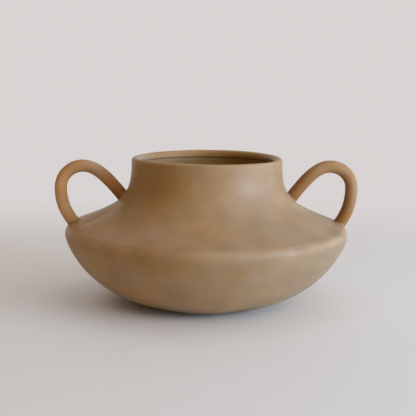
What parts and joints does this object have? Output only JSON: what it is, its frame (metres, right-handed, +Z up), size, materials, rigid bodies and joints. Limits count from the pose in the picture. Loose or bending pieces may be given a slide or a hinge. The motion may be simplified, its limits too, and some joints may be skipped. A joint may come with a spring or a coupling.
{
  "type": "two-handled ceramic vase",
  "caption": "Low, wide ceramic vase with a sharp belly edge, a short open neck with a thickened lip, and round coil loop handles on the shoulder.",
  "frame": {"origin": "on the floor, under the centre of the foot", "axes": "+Z up through the mouth, +X through the right handle, -Y towards the viewer"},
  "size_m": [0.3008, 0.28, 0.1455],
  "materials": {
    "fired_clay": "satin, smoothed by hand, unpainted",
    "bare_clay": "matt, unglazed foot",
    "joint_slip": "satin, wiped slip"
  },
  "bodies": {
    "root": {"base_disc": "bare_clay", "lower_bowl": "fired_clay", "shoulder": "fired_clay", "neck_collar": "fired_clay", "lip_ring": "fired_clay", "left_handle": "fired_clay", "right_handle": "fired_clay", "left_upper_slip_fillet": "joint_slip", "left_lower_slip_fillet": "joint_slip", "right_upper_slip_fillet": "joint_slip", "right_lower_slip_fillet": "joint_slip"}
  },
  "joints": []
}
